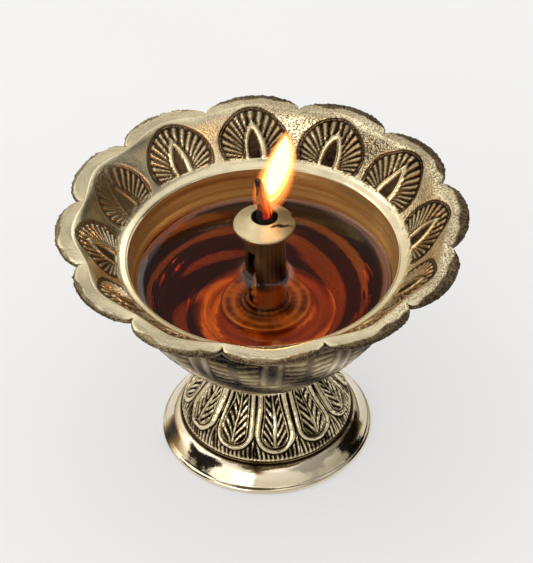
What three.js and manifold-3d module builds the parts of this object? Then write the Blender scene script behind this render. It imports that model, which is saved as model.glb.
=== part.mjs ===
// A low brass oil lamp: a lotus bowl with a scalloped brim, screwed to an engraved pedestal,
// and a loose wick holder that stands in the oil.
// Millimetres, +Z up. The origin is on the lamp's axis, on the surface that it stands on.
import * as THREE from 'three';
import { mergeVertices } from 'three/addons/utils/BufferGeometryUtils.js';
import Module from 'manifold-3d';

// ---------------------------------------------------------------- fits
const GAP = 0.3; // between pieces that touch or pass through each other

// ---------------------------------------------------------------- pedestal
const FOOT_RADIUS = 29.1;
const FOOT_HEIGHT = 6.4;
const FOOT_PLATE = 1.6; // wall of the foot's skirt and of its flat top
const FOOT_BEAD = 0.9; // radius of the rolled edge that the lamp stands on
const STEM_RADIUS = 23.4; // widest, just above its lower edge
const STEM_NECK_RADIUS = 14.4;
const STEM_HEIGHT = 17.3;
const STEM_WALL = 2.4;
const STEM_CAP = 3.6; // solid top of the hollow stem

// ---------------------------------------------------------------- screw that joins bowl and pedestal
const STUD_RADIUS = 3;
const STUD_CHAMFER = 0.5;
const THREAD_DEPTH = 4.9; // blind hole in the bowl's boss
const NUT_ACROSS_FLATS = 9;
const NUT_HEIGHT = 2.4;
const CLAMP_WASHER_RADIUS = 6.5;
const CLAMP_WASHER_THICKNESS = 0.8;
const SEAT_WASHER_RADIUS = 13;
const SEAT_WASHER_THICKNESS = 0.8;

// ---------------------------------------------------------------- bowl
const RIM_RADIUS = 55; // over the petal tips
const PETAL_COUNT = 12;
const PETAL_DEPTH = 5.65; // from a petal's tip in to the notches beside it
const PETAL_CROWN = 0.7; // a petal's middle stands this much above its notches
const BRIM_WIDTH = 6; // nearly level band outside the flare
const BRIM_THICKNESS = 1.8;
const BOWL_HEIGHT = 48.2; // from the boss's underside to the brim's top
const LIP_RADIUS = 36.2; // inner edge of the turned lip
const LIP_WIDTH = 2.2;
const LIP_HEIGHT = 35.5; // above the boss's underside
const BOWL_WALL = 2.2; // at the foot of the belly; it grows to the lip's own thickness
const LIP_BACK = 1.4; // metal behind the lip
const BOSS_RADIUS = 16.4;
const BOSS_HEIGHT = 1.4;
const FLOOR_THICKNESS = 6.4;

// ---------------------------------------------------------------- wick holder and wick
const HOLDER_CLEARANCE = 3.5; // it stands loose on the floor, this close to the wall
const HOLDER_AZIMUTH = 77; // degrees from +X
const HOLDER_HEIGHT = 37.9; // from its underside to the cap's edge
const BASE_RADIUS = 12.5;
const BASE_THICKNESS = 1.6;
const SOCKET_HEIGHT = 2;
const SOCKET_WALL = 1.2;
const TUBE_RADIUS = 5.5;
const TUBE_WALL = 0.9;
const SLOT_WIDTH = 6.4;
const SLOT_HEIGHT = 26;
const SLOT_FROM_TOP = 6;
const SLOT_AZIMUTH = -155; // degrees from +X
const CAP_RADIUS = 8.4;
const CAP_THICKNESS = 1;
const CAP_RISE = 2.3; // the disc rises this much from its edge to its hole
const CAP_COLLAR = 4;
const WICK_RADIUS = 2.7;
const WICK_CLEARANCE = 0.55; // around the wick in the cap's hole
const WICK_NECK_RADIUS = 2;
const WICK_TIP_RADIUS = 0.9;
const WICK_EXPOSED = 12.9; // length that stands above the cap
const WICK_LEAN = 1.65; // sideways reach of the burnt tip

// ---------------------------------------------------------------- smoothness
const BOWL_SEGMENTS = 8 * PETAL_COUNT;
const ROUND_SEGMENTS = 60;
const SMALL_SEGMENTS = 32;
const CURVE_STEPS = 6;
const BELLY_STEPS = 9;

// ---------------------------------------------------------------- levels, from the ground up
const footTop = FOOT_HEIGHT;
const stemBottom = footTop + GAP;
const stemTop = stemBottom + STEM_HEIGHT;
const seatWasherBottom = stemTop + GAP;
const bowlBottom = seatWasherBottom + SEAT_WASHER_THICKNESS + GAP;
const bowlFloor = bowlBottom + FLOOR_THICKNESS;
const lipLevel = bowlBottom + LIP_HEIGHT;
const brimTop = bowlBottom + BOWL_HEIGHT;
const holderBottom = bowlFloor + GAP;
const tubeBottom = holderBottom + BASE_THICKNESS + GAP;
const capEdge = holderBottom + HOLDER_HEIGHT;
const tubeTop = capEdge - CAP_THICKNESS - GAP;
const holeTop = capEdge + CAP_RISE;
const plateUnderside = footTop - FOOT_PLATE;
const clampWasherBottom = plateUnderside - GAP - CLAMP_WASHER_THICKNESS;
const nutBottom = clampWasherBottom - GAP - NUT_HEIGHT;
const studBottom = nutBottom + STUD_CHAMFER / 2;
const studTop = bowlBottom + THREAD_DEPTH - GAP;

// ---------------------------------------------------------------- radii that follow from others
const boltHole = STUD_RADIUS + GAP;
const lipOuter = LIP_RADIUS + LIP_WIDTH;
const waistRadius = lipOuter + LIP_BACK;
const collarRadius = TUBE_RADIUS - TUBE_WALL - GAP;
const capHole = WICK_RADIUS + WICK_CLEARANCE;

// ---------------------------------------------------------------- materials
const polishedBrass = { color: 0xcdbb86, roughness: 0.18, metalness: 1 };
const engravedBrass = { color: 0xa8905a, roughness: 0.4, metalness: 1 };
const satinBrass = { color: 0xbfa468, roughness: 0.35, metalness: 1 };
const plainBrass = { color: 0xb0924f, roughness: 0.3, metalness: 1 };
const leather = { color: 0x3b2a1e, roughness: 0.8, metalness: 0 };
const cotton = { color: 0x4a3a2c, roughness: 0.95, metalness: 0 };

// ---------------------------------------------------------------- helpers
const point = (radius, height) => new THREE.Vector2(radius, height);

// Points of a cubic curve in (radius, height), without its first point.
function curve(from, fromHandle, toHandle, to, steps = CURVE_STEPS) {
  const path = new THREE.CubicBezierCurve(from, fromHandle, toHandle, to);
  return path.getPoints(steps).slice(1);
}

// Points of an arc about a centre, in degrees, with both ends.
function arc(centre, radius, fromDegrees, toDegrees, steps = CURVE_STEPS) {
  const points = [];
  for (let i = 0; i <= steps; i++) {
    const angle = THREE.MathUtils.degToRad(fromDegrees + ((toDegrees - fromDegrees) * i) / steps);
    points.push(point(centre.x + radius * Math.cos(angle), centre.y + radius * Math.sin(angle)));
  }
  return points;
}

// Turns an outline about the lamp's upright axis.
function turned(outline, segments) {
  const geometry = new THREE.LatheGeometry(outline, segments);
  geometry.rotateX(Math.PI / 2);
  return geometry;
}

// A closed ring of rectangular section.
function ring(innerRadius, outerRadius, bottom, top) {
  const outline = [
    point(innerRadius, bottom),
    point(outerRadius, bottom),
    point(outerRadius, top),
    point(innerRadius, top),
    point(innerRadius, bottom),
  ];
  return turned(outline, SMALL_SEGMENTS);
}

// Moves each vertex with a function of its position.
function bent(geometry, move) {
  const position = geometry.attributes.position;
  const vertex = new THREE.Vector3();
  for (let i = 0; i < position.count; i++) {
    vertex.fromBufferAttribute(position, i);
    move(vertex);
    position.setXYZ(i, vertex.x, vertex.y, vertex.z);
  }
  return geometry;
}

const wasm = await Module();
wasm.setup();

function toSolid(geometry) {
  const bare = geometry.clone();
  bare.deleteAttribute('normal');
  bare.deleteAttribute('uv');
  const merged = mergeVertices(bare);
  const mesh = new wasm.Mesh({
    numProp: 3,
    vertProperties: new Float32Array(merged.attributes.position.array),
    triVerts: new Uint32Array(merged.index.array),
  });
  return new wasm.Manifold(mesh);
}

function toGeometry(solid) {
  const mesh = solid.getMesh();
  const geometry = new THREE.BufferGeometry();
  geometry.setAttribute('position', new THREE.BufferAttribute(mesh.vertProperties, 3));
  geometry.setIndex(new THREE.BufferAttribute(mesh.triVerts, 1));
  geometry.computeVertexNormals();
  return geometry;
}

// ---------------------------------------------------------------- pedestal pieces
// A polished skirt with a rolled edge and a flat top, hollow underneath.
function footGeometry() {
  const seatRadius = STEM_RADIUS;
  const innerEdge = FOOT_RADIUS - 3 * FOOT_BEAD;
  const bead = point(FOOT_RADIUS - FOOT_BEAD, FOOT_BEAD);
  const outside = curve(
    point(bead.x, 2 * FOOT_BEAD),
    point(bead.x - 1.4, 2 * FOOT_BEAD + 1.9),
    point(seatRadius + 2.2, footTop - 0.7),
    point(seatRadius, footTop),
  );
  const inside = curve(
    point(seatRadius - FOOT_PLATE, plateUnderside),
    point(seatRadius + 0.6, plateUnderside - 0.5),
    point(innerEdge - 0.9, 2.2),
    point(innerEdge, 0),
    4,
  );
  const outline = [
    point(innerEdge, 0),
    ...arc(bead, FOOT_BEAD, -90, 90, 5),
    ...outside,
    point(boltHole, footTop),
    point(boltHole, plateUnderside),
    point(seatRadius - FOOT_PLATE, plateUnderside),
    ...inside,
  ];
  return turned(outline, ROUND_SEGMENTS);
}

// A hollow bell that narrows to the neck, with a rounded lower edge.
function stemGeometry() {
  const edgeRadius = STEM_RADIUS - 0.4;
  const shoulder = point(STEM_RADIUS, stemBottom + 0.9);
  const outside = curve(
    shoulder,
    point(STEM_RADIUS - 0.1, stemBottom + 0.35 * STEM_HEIGHT),
    point(STEM_NECK_RADIUS + 1.7, stemTop - 0.32 * STEM_HEIGHT),
    point(STEM_NECK_RADIUS, stemTop),
    8,
  );
  const roof = stemTop - STEM_CAP;
  const inside = curve(
    point(STEM_NECK_RADIUS - 0.5 * STEM_WALL, roof),
    point(STEM_NECK_RADIUS + 0.6, roof - 0.3 * STEM_HEIGHT),
    point(STEM_RADIUS - STEM_WALL, stemBottom + 0.4 * STEM_HEIGHT),
    point(STEM_RADIUS - STEM_WALL, stemBottom),
    5,
  );
  const outline = [
    point(STEM_RADIUS - STEM_WALL, stemBottom),
    point(edgeRadius, stemBottom),
    shoulder,
    ...outside,
    point(boltHole, stemTop),
    point(boltHole, roof),
    point(STEM_NECK_RADIUS - 0.5 * STEM_WALL, roof),
    ...inside,
  ];
  return turned(outline, ROUND_SEGMENTS);
}

function studGeometry() {
  const endRadius = STUD_RADIUS - STUD_CHAMFER;
  const outline = [
    point(0, studBottom),
    point(endRadius, studBottom),
    point(STUD_RADIUS, studBottom + STUD_CHAMFER),
    point(STUD_RADIUS, studTop - STUD_CHAMFER),
    point(endRadius, studTop),
    point(0, studTop),
  ];
  return turned(outline, SMALL_SEGMENTS);
}

function nutGeometry() {
  const hexagon = new THREE.Shape();
  const cornerRadius = NUT_ACROSS_FLATS / Math.sqrt(3);
  for (let i = 0; i < 6; i++) {
    const angle = (i * Math.PI) / 3;
    const corner = point(cornerRadius * Math.cos(angle), cornerRadius * Math.sin(angle));
    if (i === 0) {
      hexagon.moveTo(corner.x, corner.y);
    } else {
      hexagon.lineTo(corner.x, corner.y);
    }
  }
  hexagon.closePath();
  const hole = new THREE.Path();
  hole.absarc(0, 0, boltHole, 0, 2 * Math.PI, true);
  hexagon.holes.push(hole);
  const geometry = new THREE.ExtrudeGeometry(hexagon, {
    depth: NUT_HEIGHT,
    bevelEnabled: false,
    curveSegments: 24,
  });
  geometry.translate(0, 0, nutBottom);
  return geometry;
}

// ---------------------------------------------------------------- bowl
// How far a petal reaches at an angle: 1 at its middle, 0 at the notches beside it.
function petalReach(angle) {
  const pitch = (2 * Math.PI) / PETAL_COUNT;
  const turns = angle / pitch;
  const across = 2 * (turns - Math.round(turns));
  return Math.sqrt(Math.max(0, 1 - across * across));
}

// Draws the round brim in to the notches, more and more from the flare to the edge.
function scallop(vertex) {
  const radius = Math.hypot(vertex.x, vertex.y);
  const start = RIM_RADIUS - PETAL_DEPTH - BRIM_WIDTH;
  const share = (radius - start) / (RIM_RADIUS - start);
  if (share <= 0 || vertex.z < lipLevel) {
    return;
  }
  const lost = 1 - petalReach(Math.atan2(vertex.y, vertex.x));
  const scale = (radius - share * PETAL_DEPTH * lost) / radius;
  vertex.x *= scale;
  vertex.y *= scale;
  vertex.z -= share * PETAL_CROWN * lost;
}

// The belly's outside, from the boss up to the waist below the brim.
const belly = new THREE.CubicBezierCurve(
  point(BOSS_RADIUS + 0.5, bowlBottom + BOSS_HEIGHT),
  point(BOSS_RADIUS + 7.2, bowlBottom + BOSS_HEIGHT + 4.9),
  point(waistRadius - 0.9, lipLevel - 14),
  point(waistRadius, lipLevel + 0.6),
);

// The belly's inside, set in from its outside, from the lip down to the floor.
function bellyInside() {
  const inside = [];
  for (let i = BELLY_STEPS; i >= 0; i--) {
    const share = i / BELLY_STEPS;
    const wall = THREE.MathUtils.lerp(BOWL_WALL, waistRadius - LIP_RADIUS, share);
    const outer = belly.getPoint(share);
    const along = belly.getTangent(share);
    const inner = point(outer.x - wall * along.y, outer.y + wall * along.x);
    if (inner.y > bowlFloor) {
      inside.push(inner);
    } else {
      const last = inside.at(-1);
      const down = (last.y - bowlFloor) / (last.y - inner.y);
      inside.push(point(THREE.MathUtils.lerp(last.x, inner.x, down), bowlFloor));
      break;
    }
  }
  return inside;
}

// The flare's topside, from the lip up to the brim.
const flare = new THREE.CubicBezierCurve(
  point(lipOuter, lipLevel + 1.5),
  point(lipOuter + 3.4, lipLevel + 3.6),
  point(RIM_RADIUS - BRIM_WIDTH - 2, brimTop - 1.4),
  point(RIM_RADIUS - BRIM_WIDTH + 1.5, brimTop - 0.3),
);

// The flare's underside, one brim thickness below its topside, from the waist up.
function flareUnderside() {
  const underside = [];
  for (let i = 1; i <= CURVE_STEPS; i++) {
    const upper = flare.getPoint(i / CURVE_STEPS);
    const along = flare.getTangent(i / CURVE_STEPS);
    underside.push(point(upper.x + BRIM_THICKNESS * along.y, upper.y - BRIM_THICKNESS * along.x));
  }
  return underside;
}

function bowlGeometry() {
  const edge = point(RIM_RADIUS - BRIM_THICKNESS / 2, brimTop - BRIM_THICKNESS / 2 - 0.4);
  const outline = [
    point(0, bowlBottom + THREAD_DEPTH),
    point(boltHole, bowlBottom + THREAD_DEPTH),
    point(boltHole, bowlBottom),
    point(BOSS_RADIUS - 0.4, bowlBottom),
    point(BOSS_RADIUS, bowlBottom + 0.5),
    ...belly.getPoints(BELLY_STEPS),
    ...flareUnderside(),
    ...arc(edge, BRIM_THICKNESS / 2, -70, 80, 4),
    ...flare.getPoints(CURVE_STEPS).reverse(),
    point(LIP_RADIUS + 0.5, lipLevel + 0.9),
    ...bellyInside(),
    point(0, bowlFloor),
  ];
  return bent(turned(outline, BOWL_SEGMENTS), scallop);
}

// ---------------------------------------------------------------- wick holder pieces
// A flat disc with a raised socket for the tube.
function baseGeometry() {
  const socketRadius = TUBE_RADIUS + GAP;
  const top = holderBottom + BASE_THICKNESS;
  const outline = [
    point(0, holderBottom),
    point(BASE_RADIUS, holderBottom),
    point(BASE_RADIUS, top - 0.5),
    point(BASE_RADIUS - 0.6, top),
    point(socketRadius + SOCKET_WALL, top),
    point(socketRadius + SOCKET_WALL, top + SOCKET_HEIGHT),
    point(socketRadius, top + SOCKET_HEIGHT),
    point(socketRadius, top),
    point(0, top),
  ];
  return turned(outline, SMALL_SEGMENTS);
}

// A tube with one tall slot that lets the oil in to the wick.
function tubeGeometry() {
  const tube = ring(TUBE_RADIUS - TUBE_WALL, TUBE_RADIUS, tubeBottom, tubeTop);
  const cutter = new THREE.BoxGeometry(2 * TUBE_RADIUS, SLOT_WIDTH, SLOT_HEIGHT);
  cutter.translate(TUBE_RADIUS, 0, tubeTop - SLOT_FROM_TOP - SLOT_HEIGHT / 2);
  cutter.rotateZ(THREE.MathUtils.degToRad(SLOT_AZIMUTH));
  return toGeometry(toSolid(tube).subtract(toSolid(cutter)));
}

// A shallow cone with a hole for the wick and a collar that drops into the tube.
function capGeometry() {
  const underside = capEdge - CAP_THICKNESS;
  const outline = [
    point(capHole, underside - CAP_COLLAR),
    point(collarRadius, underside - CAP_COLLAR),
    point(collarRadius, underside),
    point(CAP_RADIUS - 0.2, underside),
    point(CAP_RADIUS, capEdge - 0.5),
    point(CAP_RADIUS - 0.3, capEdge),
    point(capHole + 0.4, holeTop),
    point(capHole, holeTop - 0.4),
    point(capHole, underside - CAP_COLLAR),
  ];
  return turned(outline, SMALL_SEGMENTS);
}

// A cotton strand that stands on the base and leans over where it is burnt.
function wickGeometry() {
  const bottom = tubeBottom;
  const tip = holeTop + WICK_EXPOSED;
  const neck = holeTop - 1;
  const outline = [
    point(0, bottom),
    point(WICK_RADIUS, bottom),
    point(WICK_RADIUS, (bottom + neck) / 2),
    point(WICK_RADIUS, neck - 4),
    ...curve(
      point(WICK_RADIUS, neck - 4),
      point(WICK_RADIUS, neck),
      point(WICK_NECK_RADIUS, neck),
      point(WICK_NECK_RADIUS, neck + 3),
      4,
    ),
    ...curve(
      point(WICK_NECK_RADIUS, neck + 3),
      point(WICK_NECK_RADIUS, neck + 9),
      point(WICK_TIP_RADIUS, tip - 4),
      point(WICK_TIP_RADIUS, tip),
      6,
    ),
    point(0, tip),
  ];
  return bent(turned(outline, 20), (vertex) => {
    const share = Math.max(0, (vertex.z - neck) / (tip - neck));
    vertex.x -= WICK_LEAN * share * share;
  });
}

// ---------------------------------------------------------------- the lamp
function piece(name, geometry, finish) {
  const mesh = new THREE.Mesh(geometry, new THREE.MeshStandardMaterial(finish));
  mesh.name = name;
  return mesh;
}

const pedestal = new THREE.Group();
pedestal.add(
  piece('foot', footGeometry(), polishedBrass),
  piece('stem', stemGeometry(), engravedBrass),
  piece('stud', studGeometry(), plainBrass),
  piece(
    'clamp_washer',
    ring(
      boltHole,
      CLAMP_WASHER_RADIUS,
      clampWasherBottom,
      clampWasherBottom + CLAMP_WASHER_THICKNESS,
    ),
    plainBrass,
  ),
  piece('clamp_nut', nutGeometry(), plainBrass),
);

const bowl = new THREE.Group();
bowl.add(
  piece(
    'seat_washer',
    ring(
      boltHole,
      SEAT_WASHER_RADIUS,
      seatWasherBottom,
      seatWasherBottom + SEAT_WASHER_THICKNESS,
    ),
    leather,
  ),
  piece('bowl', bowlGeometry(), engravedBrass),
);

const floorRadius = bellyInside().at(-1).x;
const holderOffset = floorRadius - BASE_RADIUS - HOLDER_CLEARANCE;
const holderAngle = THREE.MathUtils.degToRad(HOLDER_AZIMUTH);
const wickHolder = new THREE.Group();
wickHolder.position.set(holderOffset * Math.cos(holderAngle), holderOffset * Math.sin(holderAngle), 0);
wickHolder.add(
  piece('wick_base', baseGeometry(), satinBrass),
  piece('wick_tube', tubeGeometry(), satinBrass),
  piece('wick_cap', capGeometry(), satinBrass),
  piece('wick', wickGeometry(), cotton),
);

const lamp = new THREE.Group();
lamp.add(pedestal, bowl, wickHolder);

export default lamp;
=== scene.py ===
# %% [markdown]
# # A brass oil lamp on a lotus foot
# The real lamp is a shallow cast bowl with a brim of twelve petals. It screws on to a flared
# pedestal with hanging lotus petals and a turned, polished foot. A loose wick holder stands in the
# oil: a disc, a tube, a pierced cap and a cotton wick. The measured frame says where the holder
# stands, and all levels agree with it. The shapes are turned profiles in millimetres, whose points
# are then raised or sunk by small functions, as an engraver works on a blank from the lathe. A
# sculpt could do the same, but a function keeps each pattern editable and even all round.

import math

import bmesh
import bpy
import numpy as np
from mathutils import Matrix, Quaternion, Vector


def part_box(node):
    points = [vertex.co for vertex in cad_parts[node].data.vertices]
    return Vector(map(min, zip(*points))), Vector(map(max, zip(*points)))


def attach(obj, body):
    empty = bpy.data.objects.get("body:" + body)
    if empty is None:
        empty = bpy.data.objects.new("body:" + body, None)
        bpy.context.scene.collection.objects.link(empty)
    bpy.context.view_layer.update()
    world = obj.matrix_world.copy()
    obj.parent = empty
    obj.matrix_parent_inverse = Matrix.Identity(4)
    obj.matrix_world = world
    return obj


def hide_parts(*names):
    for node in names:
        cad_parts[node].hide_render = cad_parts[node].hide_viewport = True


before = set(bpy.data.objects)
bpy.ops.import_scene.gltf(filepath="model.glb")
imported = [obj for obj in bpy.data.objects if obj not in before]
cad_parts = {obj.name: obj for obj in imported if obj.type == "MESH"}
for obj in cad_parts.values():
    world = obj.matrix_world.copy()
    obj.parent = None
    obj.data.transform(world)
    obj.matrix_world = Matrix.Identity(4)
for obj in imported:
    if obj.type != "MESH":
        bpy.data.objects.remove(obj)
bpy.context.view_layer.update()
MM = 0.001

# %% [markdown]
# ## The camera
# The lamp is seen from a little over 40 degrees above, as someone standing at a table sees it. A
# long lens from 0.8 m keeps the petals almost free of perspective. The camera looks at a point
# close to the lamp's axis, and is then rolled by a degree, because the lamp stands a little askew.

# %% Camera
camera_data = bpy.data.cameras.new("portrait_lens")
camera_data.sensor_width = 36.0
camera_data.lens = 192.9
camera = bpy.data.objects.new("portrait_camera", camera_data)
bpy.context.scene.collection.objects.link(camera)
bpy.context.scene.camera = camera
stand_point = Vector((-26.0, -609.2, 585.0)) * MM
aim_point = Vector((0.73, -0.03, 52.0)) * MM
sight = (aim_point - stand_point).to_track_quat("-Z", "Y")
camera.rotation_mode = "QUATERNION"
camera.location = stand_point
camera.rotation_quaternion = sight @ Quaternion((0.0, 0.0, 1.0), math.radians(-1.26))
camera_data.clip_start = 0.01
camera_data.clip_end = 20.0
print("camera", round((aim_point - stand_point).length, 3), "m from the lamp")

# %% [markdown]
# ## Tools for turned shapes
# A lathe profile is a line of (radius, height) points, followed so that the metal is on its left.
# `cubic` and `arc` draw its curved stretches and `along` walks it at an even step, because the
# engraving needs evenly spaced points. `weave` joins rings of points into one closed skin. Two
# neighbouring rings may differ by a factor of two, so only the engraved parts carry a fine mesh.

# %% Profiles
def cubic(start, first, second, end, count):
    """Points on a cubic curve through (radius, height) control points."""
    share = np.linspace(0.0, 1.0, count)[:, None]
    rest = 1.0 - share
    corners = [np.array(p, float) for p in (start, first, second, end)]
    weights = (rest**3, 3 * share * rest**2, 3 * share**2 * rest, share**3)
    return sum(w * p for w, p in zip(weights, corners))


def arc(centre, radius, begin, finish, count):
    """Points on a circular arc between two angles in degrees."""
    turn = np.radians(np.linspace(begin, finish, count))
    return np.stack([centre[0] + radius * np.cos(turn), centre[1] + radius * np.sin(turn)], 1)


def along(points, step):
    """The same line, cut into even steps of about that many millimetres."""
    points = np.asarray(points, float)
    lengths = np.hypot(*np.diff(points, axis=0).T)
    walked = np.concatenate([[0.0], np.cumsum(lengths)])
    count = max(2, int(round(walked[-1] / step)) + 1)
    marks = np.linspace(0.0, walked[-1], count)
    return np.stack([np.interp(marks, walked, points[:, axis]) for axis in (0, 1)], 1)


print("profile tools ready")

# %% Rings and the skin between them
def turned(profile, columns, relief=None, start=0.0):
    """Spin a profile into rings. relief(angle, walked, radius, height) gives (rise, dark, punch).
    It gets and gives grids, with a row for each ring and a column for each point round it."""
    profile = np.asarray(profile, float)
    slope = np.gradient(profile, axis=0)
    slope /= np.maximum(np.hypot(*slope.T), 1e-9)[:, None]
    steps = np.hypot(*np.diff(profile, axis=0).T)
    walked = start + np.concatenate([[0.0], np.cumsum(steps)])
    turn = np.arange(columns) * 2 * np.pi / columns
    angle, distance = np.meshgrid(turn, walked)
    radius = np.repeat(profile[:, :1], columns, 1)
    height = np.repeat(profile[:, 1:], columns, 1)
    rise = dark = punch = np.zeros_like(radius)
    if relief:
        rise, dark, punch = relief(angle, distance, radius, height)
    radius = radius + rise * slope[:, 1:]
    height = height - rise * slope[:, :1]
    rings = []
    for row in range(len(profile)):
        rings.append({
            "co": np.stack([radius[row] * np.cos(turn), radius[row] * np.sin(turn), height[row]], 1),
            "dark": dark[row],
            "punch": punch[row],
            "walked": np.full(columns, walked[row]),
        })
    return rings


def pole(height, walked=0.0, dark=0.0, x=0.0, y=0.0):
    """A single point that closes a skin on its axis."""
    return {"co": np.array([[x, y, height]]), "dark": np.array([dark]), "punch": np.zeros(1),
            "walked": np.array([walked])}


def seam_faces(first, second, a, b):
    """Faces between ring a (points from first) and ring b (points from second)."""
    if a == 1:
        j = np.arange(b)
        return [], np.stack([np.full(b, first), second + (j + 1) % b, second + j], 1).tolist()
    if b == 1:
        j = np.arange(a)
        return [], np.stack([first + j, first + (j + 1) % a, np.full(a, second)], 1).tolist()
    if a == b:
        j = np.arange(a)
        k = (j + 1) % a
        return np.stack([first + j, first + k, second + k, second + j], 1).tolist(), []
    fine, coarse = max(a, b), min(a, b)
    j = np.arange(coarse)
    low, middle, high, after = 2 * j, 2 * j + 1, (2 * j + 2) % fine, (j + 1) % coarse
    if a > b:
        cuts = [(first + low, first + middle, second + j), (first + middle, second + after, second + j),
                (first + middle, first + high, second + after)]
    else:
        cuts = [(first + j, second + middle, second + low), (first + j, first + after, second + middle),
                (first + after, second + high, second + middle)]
    return [], np.concatenate([np.stack(cut, 1) for cut in cuts]).tolist()


print("ring tools ready")

# %% [markdown]
# ## From rings to a Blender piece
# `weave` writes the mesh. It stores three point attributes that the materials read: how much dark
# patina sits at a point, how strongly it is punched, and a lathe coordinate that goes round the
# piece with the cutting tool, which makes turning marks follow the turning. It also lays out a UV
# map, once round the piece by the length of its profile.

# %% Weave a piece
def weave(name, rings, material, body, node=None, sharp=35.0, loop=False):
    """Make one closed mesh from rings, give it a material and let it ride on its body."""
    counts = [len(ring["co"]) for ring in rings]
    starts = np.concatenate([[0], np.cumsum(counts)])
    quads, triangles = [], []
    last = len(rings) if loop else len(rings) - 1
    for i in range(last):
        n = (i + 1) % len(rings)
        more_quads, more_triangles = seam_faces(starts[i], starts[n], counts[i], counts[n])
        quads += more_quads
        triangles += more_triangles
    points = np.concatenate([ring["co"] for ring in rings])
    mesh = bpy.data.meshes.new(name)
    mesh.from_pydata((points * MM).tolist(), [], quads + triangles)
    for channel in ("dark", "punch"):
        values = np.concatenate([ring[channel] for ring in rings]).astype(np.float32)
        mesh.attributes.new(channel, "FLOAT", "POINT").data.foreach_set("value", values)
    share = np.concatenate([np.arange(n) / max(n, 1) for n in counts])
    walked = np.concatenate([ring["walked"] for ring in rings])
    round_coordinate = np.stack([np.cos(share * 2 * np.pi), np.sin(share * 2 * np.pi), walked], 1)
    lathe = mesh.attributes.new("lathe", "FLOAT_VECTOR", "POINT")
    lathe.data.foreach_set("vector", round_coordinate.astype(np.float32).ravel())
    lay_out(mesh, share, walked / max(walked.max(), 1e-6), len(quads), len(triangles))
    mesh.polygons.foreach_set("use_smooth", np.ones(len(mesh.polygons), bool))
    mesh.set_sharp_from_angle(angle=math.radians(sharp))
    mesh.materials.append(material)
    piece = bpy.data.objects.new(name, mesh)
    bpy.context.scene.collection.objects.link(piece)
    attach(piece, body)
    if node:
        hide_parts(node)
    print(name, "has", len(mesh.vertices), "points,", 2 * len(quads) + len(triangles), "triangles")
    return piece


def lay_out(mesh, share, height, quads, triangles):
    """A UV map whose first direction goes once round and closes without a fold."""
    corners = np.empty(len(mesh.loops), np.int64)
    mesh.loops.foreach_get("vertex_index", corners)
    u, v = share[corners].copy(), height[corners]
    for begin, faces, sides in ((0, quads, 4), (4 * quads, triangles, 3)):
        block = u[begin:begin + faces * sides].reshape(-1, sides)
        wraps = (block.max(1) - block.min(1)) > 0.5
        block[wraps] += (block[wraps] < 0.25)
    layer = mesh.uv_layers.new(name="OFBake")
    layer.data.foreach_set("uv", np.stack([u * 0.98 + 0.01, v * 0.98 + 0.01], 1).astype(np.float32).ravel())


print("weaver ready")

# %% [markdown]
# ## Tools for engraving
# An engraver repeats one motif round the blank by eye, so no two are quite alike. `cells` splits
# an angle into a motif number and the way across that motif. `soft` is a smooth step, `ridge` a
# rounded line and `wander` a slow seeded unevenness, for the hand that holds the punch.

# %% Engraving tools
def soft(low, high, value):
    """0 below low, 1 above high, smooth between. Works with low above high too."""
    share = np.clip((value - low) / (high - low), 0.0, 1.0)
    return share * share * (3 - 2 * share)


def ridge(distance, half_width):
    """A rounded line: 1 on it, 0 from half_width away."""
    return np.clip(1 - (distance / half_width) ** 2, 0.0, 1.0)


def cells(angle, count, first):
    """The number of the motif at an angle, and the angle from that motif's middle."""
    turn = (angle - first) * count / (2 * np.pi)
    number = np.floor(turn + 0.5)
    return number.astype(int) % count, (turn - number) * 2 * np.pi / count


def half_turn(degrees):
    """A bearing in degrees, brought to between -180 and 180. 0 is the lamp's right, -90 its front."""
    return (degrees + 180) % 360 - 180


def wander(angle, walked, seed, finest=9):
    """A slow unevenness of about -1 to 1 over the whole surface."""
    dice = np.random.default_rng(seed)
    total = 0.0
    for _ in range(7):
        rounds = dice.integers(1, finest)
        total = total + np.sin(rounds * angle + dice.uniform(0.05, 0.5) * walked + dice.uniform(0, 6.28))
    return total / 2.6


def grit(shape, seed):
    """Fine grains from the casting sand, one value per point."""
    grains = np.random.default_rng(seed).normal(0.0, 1.0, shape)
    grains = (grains + np.roll(grains, 1, 1) + np.roll(grains, 1, 0)) / 1.7
    return grains


print("engraving tools ready")

# %% [markdown]
# ## Colours and the node helper
# Colours are written as sRGB hex, as on a colour card, and turned to linear light here. One helper
# adds a shader node, sets what it is given and links any socket it is given.

# %% Colours and nodes
def linear(code):
    """An sRGB hex colour as linear light with alpha."""
    parts = [int(code[i:i + 2], 16) / 255 for i in (1, 3, 5)]
    return tuple(p / 12.92 if p <= 0.04045 else ((p + 0.055) / 1.055) ** 2.4 for p in parts) + (1.0,)


def add(tree, kind, sockets=None, stops=None, **settings):
    """Add one node. sockets are values or links by socket name or number."""
    node = tree.nodes.new("ShaderNode" + kind)
    for key, value in settings.items():
        setattr(node, key, value)
    for key, value in (sockets or {}).items():
        if isinstance(value, bpy.types.NodeSocket):
            tree.links.new(value, node.inputs[key])
        else:
            node.inputs[key].default_value = value
    for index, (position, colour) in enumerate(stops or []):
        dots = node.color_ramp.elements
        dot = dots[index] if index < 2 else dots.new(position)
        dot.position = position
        dot.color = linear(colour)
    return node


def blank_material(name):
    """An empty material and its node tree."""
    material = bpy.data.materials.new(name)
    material.use_nodes = True
    material.node_tree.nodes.clear()
    return material, material.node_tree


print("white is", linear("#FFFFFF"))

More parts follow.
